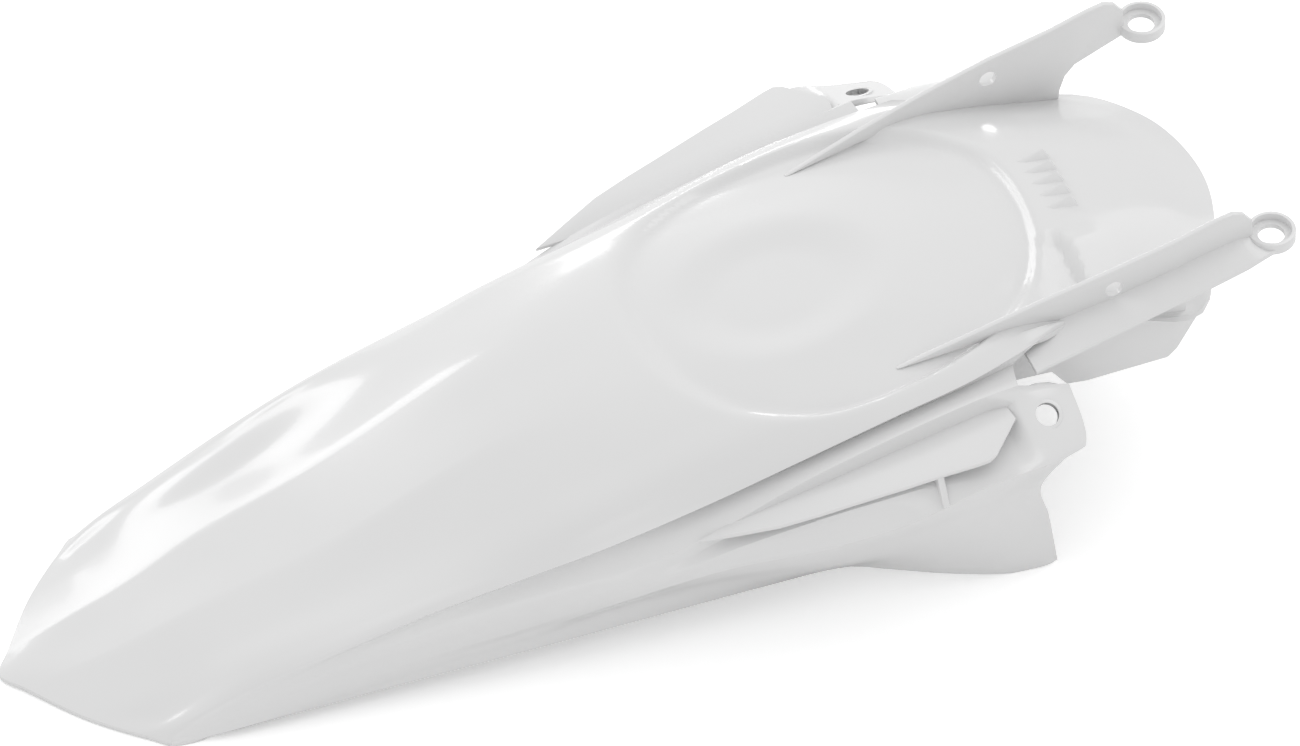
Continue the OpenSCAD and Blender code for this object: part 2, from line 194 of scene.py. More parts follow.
@dataclass
class BodyLines:
    """The length lines of the left half, from the crown out and down to the lower edge.

    Attributes:
        crown: The middle of the roof.
        crease: The tail's sharp line, which fades forward.
        flank: Halfway down the roof.
        roof_side: The roof's side, where the arms' webs stand.
        strip: The narrow strip outside the seat recess.
        step_top: Where the side wall steps down.
        step_foot: The foot of that step.
        ridge: The ridge outside the gutter.
        shelf_in: The inner edge of the flared shelf.
        shelf_out: The shelf's outer part, under the pocket plate.
        fold: Where the shelf turns down into the skirt.
        skirt_top: The skirt's upper part.
        skirt_mid: The skirt's middle.
        lower_edge: The lower edge of the moulding.
    """

    crown: Line = Line((
        (0, 0, 4), (40, 0, 12), (72, 0, 22), (118, 0, 40), (190, 0, 65), (283, 0, 108),
        (331, 0, 124), (390, 0, 136), (440, 0, 143), (500, 0, 149), (560, 0, 154),
        (620, 0, 157.5), (650, 0, 157), (690, 0, 150), (735, 0, 134)))
    crease: Line = Line((
        (10, 15, 4), (40, 18, 12.1), (72, 20.5, 22), (118, 24, 40.2), (190, 29, 64.6),
        (283, 32, 107.4), (331, 38, 121.8), (390, 42, 133.4), (440, 42, 140.5), (500, 42, 147),
        (560, 42, 151.5), (620, 42, 154), (650, 42, 153), (690, 42, 146), (726, 42, 135)),
        Softness.CRISP, (240.0, 360.0))
    flank: Line = Line((
        (36, 50, 3.5), (72, 52, 15), (118, 54, 36.3), (190, 60, 58), (283, 68, 96),
        (331, 72, 111), (390, 72, 126), (440, 71, 134.5), (500, 70, 141), (560, 68, 148),
        (620, 66, 148.5), (650, 66, 145), (690, 66, 137), (714, 66, 131.5)))
    roof_side: Line = Line((
        (55, 69, 3.5), (72, 71, 9), (118, 74, 34), (190, 84, 56.8), (235, 90, 70.8),
        (283, 96, 83), (331, 98, 98), (390, 96, 115), (440, 94, 127), (500, 88, 137),
        (560, 86, 145), (593, 86, 147), (628, 86, 141), (683, 87, 127), (704, 87, 123)))
    strip: Line = Line((
        (64, 77, 3.5), (90, 80, 18), (118, 82, 31), (171, 90, 49), (223, 95.5, 65.5),
        (283, 100, 79.5), (331, 102.5, 92), (390, 103, 107.5), (440, 102, 121.5), (500, 101, 134),
        (546, 99, 142), (585, 97, 147), (612, 95, 144)))
    step_top: Line = Line((
        (67, 80, 3.5), (90, 82.5, 17), (118, 86, 28), (171, 92.5, 47.5), (223, 98.5, 63),
        (283, 104, 75.5), (331, 107.5, 85), (390, 110, 99), (443, 111.5, 113.5),
        (502, 112, 128.5), (546, 110.5, 137), (588, 105, 146.5)),
        Softness.CRISP, (250.0, 170.0))
    step_foot: Line = Line((
        (69, 82, 3.5), (90, 84.8, 14.2), (118, 87.6, 24.2), (171, 92, 42.4), (223, 95.4, 57),
        (283, 99.2, 69.4), (331, 102.4, 78.6), (390, 104.8, 92.4), (443, 106.2, 106.4),
        (502, 106.8, 121), (546, 106.4, 129.4), (574, 105, 134.4)),
        Softness.CRISP, (250.0, 170.0))
    ridge: Line = Line((
        (70, 83, 3.5), (90, 86, 11), (118, 89, 19), (171, 94.5, 35), (223, 101, 47),
        (283, 108.5, 58), (331, 114.5, 68), (360, 120, 78), (390, 122.5, 89.5), (443, 121.5, 108),
        (502, 121.5, 123.5), (546, 121.5, 132.5), (570, 122.5, 136)),
        Softness.CRISP, (370.0, 270.0))
    shelf_in: Line = Line((
        (71, 83.5, 3.5), (90, 86.5, 9), (118, 90, 15), (171, 95, 28), (223, 101, 38),
        (283, 109, 48), (331, 118, 61), (360, 122, 71), (390, 124, 82), (443, 124.5, 96),
        (502, 124.5, 108), (546, 125.5, 117), (556, 126, 120), (566, 128, 130.2),
        (600, 125.5, 128.6)),
        Softness.CRISP, (370.0, 270.0))
    shelf_out: Line = Line((
        (71.5, 84, 3.5), (90, 87, 7), (118, 90.5, 12), (171, 95.5, 22), (223, 100.5, 30),
        (283, 107.5, 38), (331, 118, 54), (360, 125, 66), (390, 131, 79), (443, 143, 97),
        (474, 149, 104.5), (502, 153, 109), (530, 159, 112), (556, 161.5, 114),
        (597, 157.5, 110.5)),
        Softness.SOFT)
    fold: Line = Line((
        (72, 84.5, 3.5), (90, 87.5, 5.5), (118, 91, 9.5), (171, 95.5, 17), (223, 99.5, 24),
        (283, 105, 31), (331, 116, 46), (390, 132, 66), (446, 149, 78), (484, 158, 88.5),
        (509, 164.4, 101), (522, 166.3, 107.5), (540, 166.8, 111.5), (556, 166.3, 113),
        (571, 163, 110), (583, 160, 107.5)),
        Softness.CRISP, (350.0, 250.0))
    skirt_top: Line = Line((
        (72, 84.7, 3.3), (90, 87.8, 4.7), (118, 91.3, 8.2), (171, 95.3, 14.5), (223, 99, 20.5),
        (283, 104, 26.5), (331, 112, 40), (390, 126, 54), (446, 142, 62), (495, 153, 73),
        (530, 159, 82), (572, 154, 84)))
    skirt_mid: Line = Line((
        (72, 84.8, 3.2), (90, 88, 4), (118, 91.5, 7), (171, 95, 12), (223, 98.5, 17),
        (283, 103, 22), (331, 108, 32), (390, 118, 40), (446, 131, 43), (495, 143, 50),
        (530, 150, 54), (579, 149.5, 54)))
    lower_edge: Line = Line((
        (72, 85, 3), (90, 88, 3.2), (134, 92, 6), (205, 97, 9.7), (276, 102, 12.6),
        (347, 106, 15), (425, 110, 17), (471, 112, 15.5), (495, 120, 12), (526, 130, 6),
        (560, 138, 0.4), (577, 140.2, 0.5), (585, 141.2, 1.7), (589, 142, 4.5)))

    def all(self) -> list[Line]:
        """The lines in order, from the crown to the lower edge."""
        return [
            self.crown, self.crease, self.flank, self.roof_side, self.strip, self.step_top,
            self.step_foot, self.ridge, self.shelf_in, self.shelf_out, self.fold, self.skirt_top,
            self.skirt_mid, self.lower_edge,
        ]


def to_frame(points: np.ndarray) -> np.ndarray:
    """Moves points from the drawing, whose X starts at the tail, into the frame, in metres."""
    length = CAD_BOX[1][0] - CAD_BOX[0][0]
    return points * MM - np.array([length / 2, 0.0, 0.0])


def new_object(name: str, points: np.ndarray, faces: list[tuple[int, ...]]) -> bpy.types.Object:
    """Makes a mesh object from points in the drawing's mm.

    Args:
        name: Name of the piece.
        points: One row of x, y, z for each point.
        faces: Point numbers of each face.

    Returns:
        The object, linked to the scene, in metres.
    """
    mesh = bpy.data.meshes.new(name)
    mesh.from_pydata([tuple(p) for p in to_frame(points)], [], faces)
    mesh.validate()
    piece = bpy.data.objects.new(name, mesh)
    bpy.context.scene.collection.objects.link(piece)
    return piece


def prism(
    name: str, outline: list[Point2], low: float, high: float, upright: bool = False
) -> bpy.types.Object:
    """A straight prism.

    Args:
        name: Name of the piece.
        outline: Its outline, as x and y, or x and z where it is upright.
        low: Where it starts along the third axis.
        high: Where it ends.
        upright: True for an outline seen from the side, drawn out along Y.

    Returns:
        The prism as a closed mesh.
    """
    n = len(outline)
    rows = []
    for level in (low, high):
        rows += [(a, level, b) if upright else (a, b, level) for a, b in outline]
    faces = [tuple(range(n))[::-1], tuple(range(n, 2 * n))]
    faces += [(i, (i + 1) % n, (i + 1) % n + n, i + n) for i in range(n)]
    piece = new_object(name, np.array(rows, float), faces)
    outward(piece)
    return piece


def between(name: str, rim: list[Point3], far_rim: list[Point3]) -> bpy.types.Object:
    """A solid between two outlines that have the same number of points.

    Args:
        name: Name of the piece.
        rim: The first outline.
        far_rim: The second one, point for point.

    Returns:
        The solid as a closed mesh.
    """
    n = len(rim)
    faces = [tuple(range(n)), tuple(range(2 * n - 1, n - 1, -1))]
    faces += [(i, i + n, (i + 1) % n + n, (i + 1) % n) for i in range(n)]
    piece = new_object(name, np.array(rim + far_rim, float), faces)
    outward(piece)
    return piece


def disc(
    name: str, at: Point3, diameter: float, height: float, sides: int = 64
) -> bpy.types.Object:
    """An upright cylinder.

    Args:
        name: Name of the piece.
        at: Centre of its foot, in the drawing's mm.
        diameter: Its diameter.
        height: Its height.
        sides: How many flat sides stand for its round.

    Returns:
        The cylinder.
    """
    radius = diameter / 2
    outline = []
    for i in range(sides):
        angle = 2 * math.pi * i / sides
        outline.append((at[0] + radius * math.cos(angle), at[1] + radius * math.sin(angle)))
    return prism(name, outline, at[2], at[2] + height)


def tilted_disc(
    name: str, at: Point3, tilt: float, diameter: float, low: float, high: float
) -> bpy.types.Object:
    """A cylinder that is turned from upright about X.

    Args:
        name: Name of the piece.
        at: A point of its axis, in the drawing's mm.
        tilt: The turn, in degrees.
        diameter: Its diameter.
        low: Where it starts along its axis, from that point.
        high: Where it ends.

    Returns:
        The cylinder.
    """
    piece = disc(name, (0, 0, low), diameter, high - low)
    piece.data.transform(
        Matrix.Translation(to_frame(np.array(at)))
        @ Matrix.Rotation(math.radians(tilt), 4, "X")
        @ Matrix.Translation(-Vector(to_frame(np.zeros(3))))
    )
    return piece


def outward(piece: bpy.types.Object) -> None:
    """Turns all faces of a closed mesh outward.

    Args:
        piece: The solid, whose mesh is changed in place.
    """
    work = bmesh.new()
    work.from_mesh(piece.data)
    bmesh.ops.recalc_face_normals(work, faces=work.faces)
    work.to_mesh(piece.data)
    work.free()


class Join(Enum):
    """The ways in which one solid shapes another."""

    CUT = "DIFFERENCE"
    COMMON = "INTERSECT"


def apply_modifiers(piece: bpy.types.Object) -> None:
    """Bakes a piece's modifiers into its mesh.

    Args:
        piece: The solid, which is left without modifiers.
    """
    graph = bpy.context.evaluated_depsgraph_get()
    mesh = bpy.data.meshes.new_from_object(piece.evaluated_get(graph))
    piece.modifiers.clear()
    old, piece.data = piece.data, mesh
    mesh.name = old.name
    bpy.data.meshes.remove(old)


def combine(
    piece: bpy.types.Object, tools: list[bpy.types.Object], how: Join
) -> bpy.types.Object:
    """Shapes a piece with tools, which are used up.

    Args:
        piece: The solid that is kept.
        tools: The solids that are cut from it, or that it is cut down to.
        how: Which of the two.

    Returns:
        The kept solid.
    """
    for tool in tools:
        step = piece.modifiers.new("combine", "BOOLEAN")
        step.operation = how.value
        step.solver = "EXACT"
        step.object = tool
        apply_modifiers(piece)
        bpy.data.objects.remove(tool)
    return piece


def fuse(pieces: list[bpy.types.Object], name: str) -> bpy.types.Object:
    """Puts solids that run into each other into one mesh.

    Args:
        pieces: The solids, of which the first is kept and the others are used up.
        name: Name of the result.

    Returns:
        The one piece.
    """
    work = bmesh.new()
    for piece in pieces:
        work.from_mesh(piece.data)
    work.to_mesh(pieces[0].data)
    work.free()
    for piece in pieces[1:]:
        bpy.data.objects.remove(piece)
    pieces[0].name = pieces[0].data.name = name
    return pieces[0]


def round_edges(
    piece: bpy.types.Object, width: float, segments: int = 2, over: float = 35.0
) -> None:
    """Rounds a piece's sharp edges.

    Args:
        piece: The solid.
        width: Width of the rounding, in mm.
        segments: Faces across it.
        over: Least angle between two faces, in degrees, for an edge to be rounded.
    """
    step = piece.modifiers.new("round", "BEVEL")
    step.width = width * MM
    step.segments = segments
    step.limit_method = "ANGLE"
    step.angle_limit = math.radians(over)
    step.use_clamp_overlap = True
    apply_modifiers(piece)


def mirrored(piece: bpy.types.Object, name: str) -> bpy.types.Object:
    """A copy of a left piece for the right side.

    Args:
        piece: The left piece, which stays.
        name: Name of the copy.

    Returns:
        The copy, mirrored across the crown.
    """
    mesh = piece.data.copy()
    mesh.transform(Matrix.Scale(-1.0, 4, Vector((0.0, 1.0, 0.0))))
    mesh.flip_normals()
    copy = bpy.data.objects.new(name, mesh)
    bpy.context.scene.collection.objects.link(copy)
    return copy


@dataclass(frozen=True)
class Notch:
    """The shallow notch beside the louvres, on the right side only.

    Attributes:
        start: Where its slope down begins along X, in mm.
        floor: Where it is deepest.
        back: Top of the step up ahead of it.
        end: Where that step has run out.
        inner: Its inner side, from the crown outward.
        outer: Its outer side.
        side_run: How wide both sides' slopes are.
        depth: How deep it is.
        rise: How far the step stands above the roof.
    """

    start: float = 612.0
    floor: float = 628.0
    back: float = 635.0
    end: float = 662.0
    inner: float = 37.0
    outer: float = 84.0
    side_run: float = 7.0
    depth: float = 3.2
    rise: float = 2.2

    def height(self, x: float, y: float) -> float:
        """How far the roof is pressed down or raised there.

        Args:
            x: Place along the fender, in mm.
            y: Place across it, from the crown outward.

        Returns:
            The height to add, in mm.
        """
        down = -self.depth * ramp((x - self.start) / (self.floor - self.start))
        up = (self.depth + self.rise) * ramp((x - self.floor) / (self.back - self.floor))
        away = -self.rise * ramp((x - self.back) / (self.end - self.back))
        window = ramp((y - self.inner) / self.side_run) * ramp((self.outer - y) / self.side_run)
        return (down + up + away) * window


@dataclass
class Shell:
    """The moulded skin: tail, roof, side walls and skirts, as one lofted wall.

    Each line is divided into the same number of stations, and a section is drawn
    through the lines at each of them, so that the sections fan out with the tail's edge.

    Attributes:
        roof_spans: How many spans between lines, from the crown, make up the roof.
        middle_from: Where the middle stations begin along X, in mm.
        middle_to: Where they end.
        tail_blend: How far from the tail's edge the wall is measured straight down.
        normal_reach: How many points to each side the wall's direction is read from.
    """

    lines: BodyLines = field(default_factory=BodyLines)
    roof_spans: int = 4
    wall: float = 3.0
    tail_stations: int = 26
    middle_stations: int = 104
    front_stations: int = 70
    middle_from: float = 110.0
    middle_to: float = 540.0
    steps_between_lines: int = 8
    tail_blend: float = 45.0
    normal_reach: int = 3
    recess_depth: float = 6.0
    dish_depth: float = 6.0
    recess: Oval = Oval(502, 120, 99, 2.3, 1.03, 0.08, 0.09)
    dish: Oval = Oval(472, 66, 51, 2.0, 1.05, 0.55, 0.0)
    notch: Notch = Notch()

    def relief(self, x: float, y: float) -> float:
        """How far the roof's pressed forms lie above or below its lines.

        Args:
            x: Place along the fender, in mm.
            y: Place across it.

        Returns:
            The height to add, in mm.
        """
        recess = self.recess_depth * self.recess.share(x, y)
        return -recess - self.dish_depth * self.dish.share(x, y)

    @property
    def stations(self) -> int:
        """How many sections there are."""
        return self.tail_stations + self.middle_stations + self.front_stations + 1

    @property
    def roof_points(self) -> int:
        """How many of a half section's points lie on the roof."""
        return self.roof_spans * self.steps_between_lines + 1

    def station(self, line: Line, s: int) -> float:
        """Place of a station on a line.

        Args:
            line: The line, which runs from its tail end to its front end.
            s: Number of the station.

        Returns:
            The place along X, in mm.
        """
        tail, middle = self.tail_stations, self.middle_stations
        if s <= tail:
            return line.first() + (self.middle_from - line.first()) * s / tail
        if s <= tail + middle:
            return self.middle_from + (self.middle_to - self.middle_from) * (s - tail) / middle
        share = (s - tail - middle) / self.front_stations
        return self.middle_to + (line.last() - self.middle_to) * share

    def half_section(self, s: int) -> np.ndarray:
        """The outer points of the left half at a station.

        Args:
            s: Number of the station.

        Returns:
            The points, from the crown to the lower edge.
        """
        lines = self.lines.all()
        places = [self.station(line, s) for line in lines]
        keys = [np.array([x, line.at(x, 1), line.at(x, 2)]) for x, line in zip(places, lines)]
        turns = [1.0] + [line.turn(x) for x, line in zip(places, lines)][1:]
        steps = self.steps_between_lines
        points = []
        for i in range(len(lines) - 1):
            p, q = keys[i], keys[i + 1]
            before = keys[i - 1] if i else keys[1] * ACROSS
            leaving = self.tangent(before, p, q, turns[i], q - p)
            arriving = q - p
            if i + 2 < len(lines):
                arriving = self.tangent(p, q, keys[i + 2], turns[i + 1], q - p)
            points += [bend(p, q, leaving, arriving, k / steps) for k in range(steps)]
        out = np.array(points + [keys[-1]])
        for point in out[:self.roof_points]:
            point[2] += self.relief(point[0], point[1])
        return out

    @staticmethod
    def tangent(
        a: np.ndarray, b: np.ndarray, c: np.ndarray, softness: float, chord: np.ndarray
    ) -> np.ndarray:
        """Tangent of the section at b, scaled to one chord.

        Args:
            a: Key point before b.
            b: Key point of the tangent.
            c: Key point after b.
            softness: 1 for a smooth run through b, 0 for a corner.
            chord: The chord that the tangent belongs to.

        Returns:
            The tangent in mm.
        """
        before, after = b - a, c - b
        la, lb = np.linalg.norm(before) + 1e-9, np.linalg.norm(after) + 1e-9
        smooth = (before / la * lb + after / lb * la) / (la + lb) * np.linalg.norm(chord)
        return softness * smooth + (1 - softness) * chord

    def inward(self, section: np.ndarray, s: int) -> np.ndarray:
        """Directions from the outer skin to the inner one.

        Args:
            section: Outer points of the left half.
            s: Number of its station.

        Returns:
            One row of y and z, of length 1, for each point.
        """
        reach = self.normal_reach
        full = np.vstack([section[1:reach + 1][::-1] * ACROSS, section])
        count = len(section)
        last = len(full) - 1
        ahead = np.array([full[min(last, i + 2 * reach)] for i in range(count)])
        d = ahead - full[:count]
        v = np.stack([d[:, 2], -d[:, 1]], 1)
        v /= np.linalg.norm(v, axis=1)[:, None] + 1e-9
        line = self.lines.all()[-1]
        k = ramp((self.station(line, s) - line.first()) / self.tail_blend)
        v = k * v + (1 - k) * np.array([0.0, -1.0])
        v[0] = (0.0, -1.0)
        return v / np.linalg.norm(v, axis=1)[:, None]

    def skins(self) -> tuple[list[np.ndarray], list[np.ndarray]]:
        """The points of the outer and the inner skin, from the left edge to the right.

        Returns:
            One array for each station, of the outer skin and then of the inner one.
        """
        outer, inner = [], []
        for s in range(self.stations):
            section = self.half_section(s)
            under = section.copy()
            under[:, 1:] += self.wall * self.inward(section, s)
            right, right_under = section * ACROSS, under * ACROSS
            for k in range(self.roof_points):
                pressed = self.notch.height(section[k][0], section[k][1])
                right[k][2] += pressed
                right_under[k][2] += pressed
            outer.append(np.vstack([section[::-1], right[1:]]))
            inner.append(np.vstack([under[::-1], right_under[1:]]))
        return outer, inner

    def faces(self, row: int) -> list[tuple[int, ...]]:
        """The faces of both skins and of the edges that close them.

        Args:
            row: How many points a skin has at each station.

        Returns:
            Point numbers of each face.
        """
        m = self.stations * row
        faces: list[tuple[int, ...]] = []
        for j in range(self.stations - 1):
            for i in range(row - 1):
                a, c = j * row + i, (j + 1) * row + i
                faces.append((a, a + 1, c + 1, c))
                faces.append((a + m, c + m, c + 1 + m, a + 1 + m))
            a, c = j * row, (j + 1) * row
            faces.append((a, c, c + m, a + m))
            b, d = a + row - 1, c + row - 1
            faces.append((b, b + m, d + m, d))
        for i in range(row - 1):
            b = (self.stations - 1) * row + i
            faces.append((i, i + m, i + 1 + m, i + 1))
            faces.append((b, b + 1, b + 1 + m, b + m))
        return faces

    def build(self) -> bpy.types.Object:
        """Builds the wall as one closed mesh.

        Returns:
            The shell.
        """
        outer, inner = self.skins()
        shell = new_object("shell", np.vstack(outer + inner), self.faces(len(outer[0])))
        outward(shell)
        return shell


@dataclass
class Arm:
    """A front arm: an upright web, a side flange and a cup with the fixing hole.

    Attributes:
        web_plan: The web's middle seen from above, as x and y.
        web_side: The web's outline from the side, as x and z.
        cheek_plan: The same for the cheek, which hangs under the front arch.
        cheek_side: Its outline from the side.
        flange: The flange's upper face, as x, inner y and z, then outer y and z.
    """

    tip: Point3 = (738.0, 92.0, 165.0)
    web_thickness: float = 3.2
    cheek_thickness: float = 3.0
    flange_thickness: float = 3.0
    pad_diameter: float = 27.9
    pad_bore: float = 15.6
    pad_floor: float = 3.0
    rim_height: float = 4.5
    rim_thickness: float = 2.2
    edge: float = 0.7
    web_bore: float = 10.6
    web_hole: Point3 = (641.0, 91.0, 158.0)
    cutter_reach: float = 30.0
    web_plan: tuple[Point2, ...] = (
        (512, 82.5), (560, 86.5), (600, 89), (641, 91), (729, 91.5))
    web_side: tuple[Point2, ...] = (
        (512, 134), (540, 143.5), (570, 153), (600, 162), (641, 172.5), (680, 181.5),
        (702, 188.5), (713, 190.9), (720, 188), (725.3, 181), (726, 172), (726, 162),
        (704, 152.5), (696, 149), (690, 142), (687, 132), (686, 122), (655, 130), (628, 136),
        (600, 142), (570, 142), (540, 138))
    cheek_plan: tuple[Point2, ...] = (
        (556, 97), (582, 94), (604, 91.5), (640, 89.5), (683, 87.5), (702.5, 84))
    cheek_side: tuple[Point2, ...] = (
        (558, 139), (582, 144), (606, 142), (628, 138.5), (655, 132.5), (683, 125),
        (702.5, 121), (702, 117), (684, 90), (678, 85), (627, 88), (614, 91), (604, 105),
        (580, 110), (558, 122))
    flange: tuple[tuple[float, ...], ...] = (
        (583, 91.3, 138, 118.2, 137.7), (600, 91, 142.3, 116.5, 140.2),
        (620, 91, 146.8, 115.2, 143.6), (641, 91, 151.3, 114.3, 148),
        (660, 91, 156, 113.4, 152), (680, 91, 161, 112.5, 156.2),
        (700, 91, 166.5, 111.7, 160.8), (716, 91, 170, 110.5, 164),
        (727, 91, 169, 108, 165.5), (738, 91, 167, 105, 166))

    @staticmethod
    def upright_plate(
        name: str, plan: tuple[Point2, ...], side: tuple[Point2, ...], thickness: float
    ) -> bpy.types.Object:
        """An upright plate that follows a line in plan.

        Args:
            name: Name of the piece.
            plan: The line that its middle follows, as x and y.
            side: Its outline from the side, as x and z.
            thickness: Its thickness.

        Returns:
            The plate.
        """
        half = thickness / 2
        strip = [(x, y + half) for x, y in plan] + [(x, y - half) for x, y in reversed(plan)]
        plate = prism(name, strip, 0, 400)
        outline = prism(name + "_side", list(side), -10, 300, upright=True)
        return combine(plate, [outline], Join.COMMON)

    def build(self) -> list[bpy.types.Object]:
        """Builds the arm's solids.

        Returns:
            The web, the cheek, the flange and the cup.
        """
        web = self.upright_plate("web", self.web_plan, self.web_side, self.web_thickness)
        cheek = self.upright_plate(
            "cheek", self.cheek_plan, self.cheek_side, self.cheek_thickness)
        flange = ribbon("flange", self.flange, self.flange_thickness)
        x, y, z = self.tip
        height = self.pad_floor + self.rim_height
        cup = disc("cup", (x, y, z - self.pad_floor), self.pad_diameter, height)
        for solid in (web, cheek, cup):
            round_edges(solid, self.edge)
        combine(cup, [self.hollow(), self.pad_hole()], Join.CUT)
        combine(flange, [self.clearance()], Join.CUT)
        combine(web, [self.web_cutter()], Join.CUT)
        return [web, cheek, flange, cup]

    def hollow(self) -> bpy.types.Object:
        """The cutter for the hollow inside the cup's rim."""
        return disc(
            "hollow", self.tip, self.pad_diameter - 2 * self.rim_thickness, self.cutter_reach)

    def pad_hole(self) -> bpy.types.Object:
        """The cutter for the fixing hole in the cup."""
        x, y, z = self.tip
        reach = self.cutter_reach
        return disc("pad_hole", (x, y, z - reach), self.pad_bore, 2 * reach)

    def clearance(self) -> bpy.types.Object:
        """The cutter that ends the flange in the cup's rim."""
        x, y, z = self.tip
        reach = self.cutter_reach
        width = self.pad_diameter - self.rim_thickness
        return disc("clearance", (x, y, z - reach), width, 2 * reach)

    def web_cutter(self) -> bpy.types.Object:
        """The cutter for the hole in the web."""
        reach = self.cutter_reach
        return tilted_disc("web_hole", self.web_hole, 90.0, self.web_bore, -reach, reach)


def ribbon(
    name: str, rows: tuple[tuple[float, ...], ...], thickness: float, edge: float = 0.8
) -> bpy.types.Object:
    """A twisted strip with a rounded outer edge.

    Args:
        name: Name of the piece.
        rows: Its upper face, as x, inner y and z, then outer y and z.
        thickness: How far its lower face lies below.
        edge: Radius of the outer edge.

    Returns:
        The strip as a closed mesh.
    """
    bevel = 0.3 * edge
    points = []
    for x, y0, z0, y1, z1 in rows:
        rise = (z1 - z0) / (y1 - y0) * edge
        points += [
            (x, y0, z0), (x, y1 - edge, z1 - rise), (x, y1 - bevel, z1 - bevel),
            (x, y1, z1 - edge), (x, y1, z1 - thickness + edge),
            (x, y1 - edge, z1 - thickness - rise), (x, y0, z0 - thickness)]
    n = len(points) // len(rows)
    last = len(points) - n
    faces: list[tuple[int, ...]] = [tuple(range(n)), tuple(range(last + n - 1, last - 1, -1))]
    for a in range(0, last, n):
        for k in range(n):
            b = (k + 1) % n
            faces += [(a + k, a + k + n, a + b), (a + b, a + k + n, a + b + n)]
    piece = new_object(name, np.array(points, float), faces)
    outward(piece)
    return piece


def sheet_on_plane(
    name: str, plan: tuple[Point2, ...], at: Point3, slopes: Point2, thickness: float
) -> bpy.types.Object:
    """A flat sheet with an outline in plan, whose upper face lies on a sloping plane.

    Args:
        name: Name of the piece.
        plan: Outline seen from above.
        at: A point of the plane.
        slopes: Slopes of the plane along X and Y.
        thickness: Thickness of the sheet, measured square to it.

    Returns:
        The sheet.
    """
    drop = thickness * math.sqrt(1 + slopes[0] ** 2 + slopes[1] ** 2)
    top = [(x, y, at[2] + slopes[0] * (x - at[0]) + slopes[1] * (y - at[1])) for x, y in plan]
    return between(name, top, [(x, y, z - drop) for x, y, z in top])


@dataclass
class PocketPlate:
    """The flat flap over the skirt, with the short rib under its corner."""

    thickness: float = 2.5
    edge: float = 0.6
    plan: tuple[Point2, ...] = (
        (375, 124), (397, 132.4), (418, 140), (440, 144.5), (463, 148.3), (491, 153.2),
        (511, 156.2), (530, 159.8), (537, 160.5), (542, 158), (562, 138), (561, 121),
        (502, 120), (443, 120), (395, 121))
    at: Point3 = (491, 153.2, 114.8)
    slopes: Point2 = (0.208, 0.11)
    rib_x: float = 509.0
    rib_thickness: float = 4.0
    rib_edge: float = 0.5
    rib_section: tuple[Point2, ...] = (
        (126, 114), (150, 117), (155.5, 117.5), (165.5, 102), (160, 98), (150, 105), (126, 105))

    def build(self) -> list[bpy.types.Object]:
        """Builds the plate and its rib.

        Returns:
            Both solids.
        """
        plate = sheet_on_plane("plate", self.plan, self.at, self.slopes, self.thickness)
        round_edges(plate, self.edge)
        rear, front = (self.rib_x + k * self.rib_thickness / 2 for k in (-1, 1))
        rib = between(
            "rib", [(rear, y, z) for y, z in self.rib_section],
            [(front, y, z) for y, z in self.rib_section])
        round_edges(rib, self.rib_edge)
        return [plate, rib]


@dataclass
class SideFixing:
    """The round seat and hole in the flange at the front of the skirt."""

    at: Point3 = (581.0, 138.71, 123.76)
    tilt: float = -29.9
    seat_diameter: float = 18.0
    bore: float = 13.6
    up: float = 0.5
    down: float = 4.0
    edge: float = 0.4
    cutter_reach: float = 12.0

    def build(self) -> list[bpy.types.Object]:
        """Builds the seat.

        Returns:
            The seat alone, as a list like the other parts' solids.
        """
        seat = tilted_disc("seat", self.at, self.tilt, self.seat_diameter, -self.down, self.up)
        round_edges(seat, self.edge)
        return [combine(seat, [self.hole()], Join.CUT)]

    def hole(self) -> bpy.types.Object:
        """The cutter for the hole."""
        reach = self.cutter_reach
        return tilted_disc("side_hole", self.at, self.tilt, self.bore, -reach, reach)


